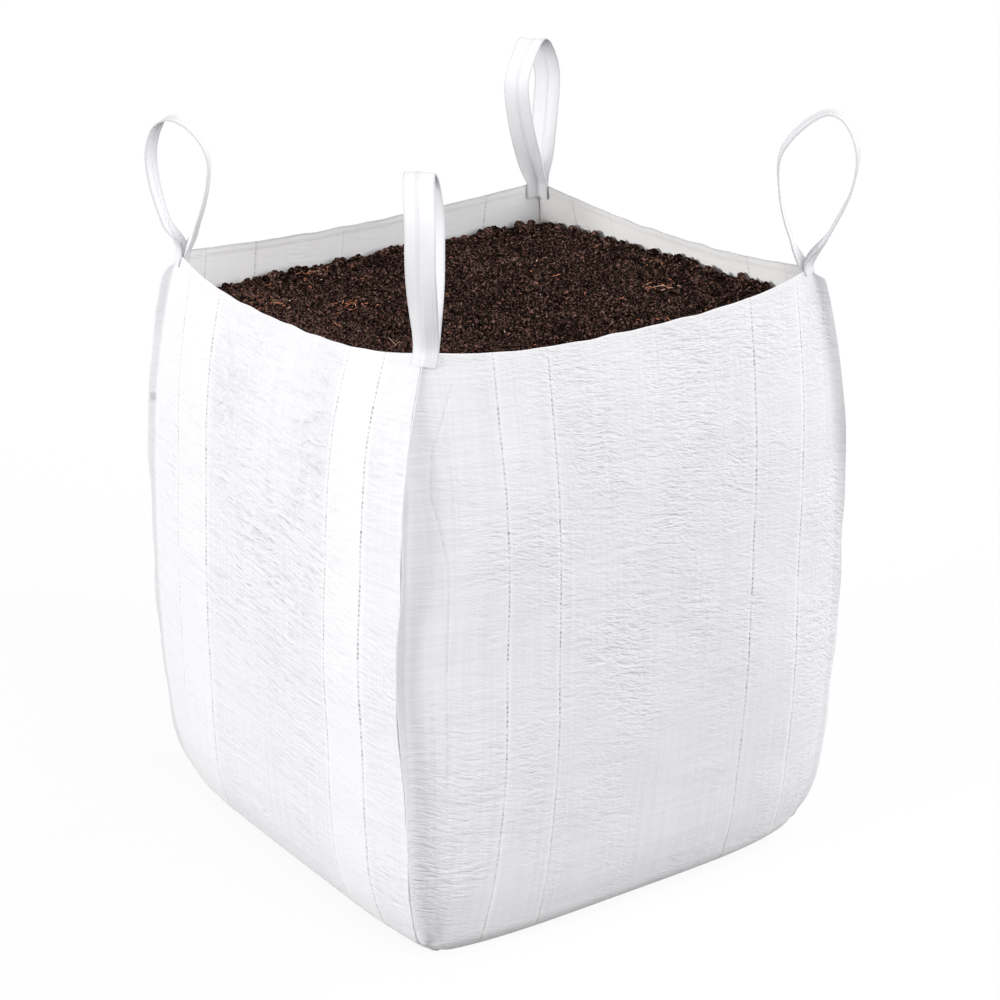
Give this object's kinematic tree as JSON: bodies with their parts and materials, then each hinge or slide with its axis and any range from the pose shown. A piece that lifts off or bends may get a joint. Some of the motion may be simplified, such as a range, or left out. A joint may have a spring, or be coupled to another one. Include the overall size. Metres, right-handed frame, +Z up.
{
  "type": "bulk bag of topsoil",
  "caption": "Open square bulk bag of white woven cloth filled with dark crumbly topsoil, with sewn corner seams, a hemmed rim and webbing lifting loops standing up at its corners.",
  "frame": {"origin": "middle of the bag's box, on the floor under its base", "axes": "+Z up through the bag's mouth, -Y out of the front wall (the right-hand wall of the picture), -X out of the left wall"},
  "size_m": [0.9238, 0.9178, 1.2859],
  "materials": {
    "woven_cloth": "matt white coated tape weave, slightly sheeny",
    "webbing": "matt white ribbed webbing",
    "topsoil": "dull dark brown crumbs with fine fibres"
  },
  "bodies": {
    "root": {"body_panel": "woven_cloth", "side_panel_left": "woven_cloth", "side_panel_right": "woven_cloth", "topsoil": "topsoil", "lifting_loop_near": "webbing", "lifting_loop_right": "webbing", "lifting_loop_back": "webbing", "lifting_loop_left": "webbing"}
  },
  "joints": []
}
